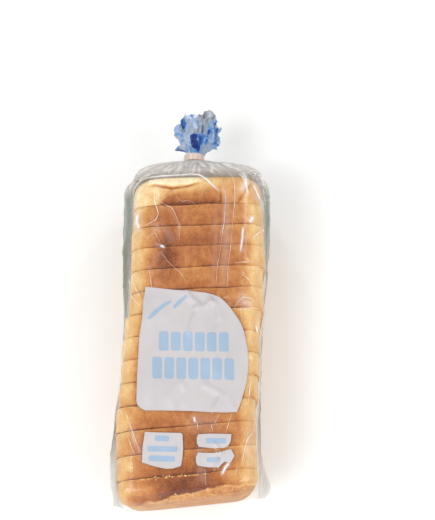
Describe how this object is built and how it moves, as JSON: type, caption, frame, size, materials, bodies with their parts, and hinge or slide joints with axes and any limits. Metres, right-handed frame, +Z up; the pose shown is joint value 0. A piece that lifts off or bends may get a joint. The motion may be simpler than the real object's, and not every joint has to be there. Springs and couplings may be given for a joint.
{
  "type": "loaf in bread bag",
  "caption": "Sliced sandwich loaf in a clear film bag, lying on its base with the browned crust up, its gathered mouth taped and ruffled",
  "frame": {"origin": "centre of the bag's bounding box in plan, on the ground plane under the loaf", "axes": "+Y along the loaf towards the taped mouth, +Z up out of the browned top crust, +X to the right seen from above with the mouth away"},
  "size_m": [0.1234, 0.317, 0.1],
  "materials": {
    "film": "clear glossy film over browned crust",
    "tape": "satin, slightly see-through"
  },
  "bodies": {
    "root": {"bag": "film", "neck_tape": "tape"}
  },
  "joints": []
}
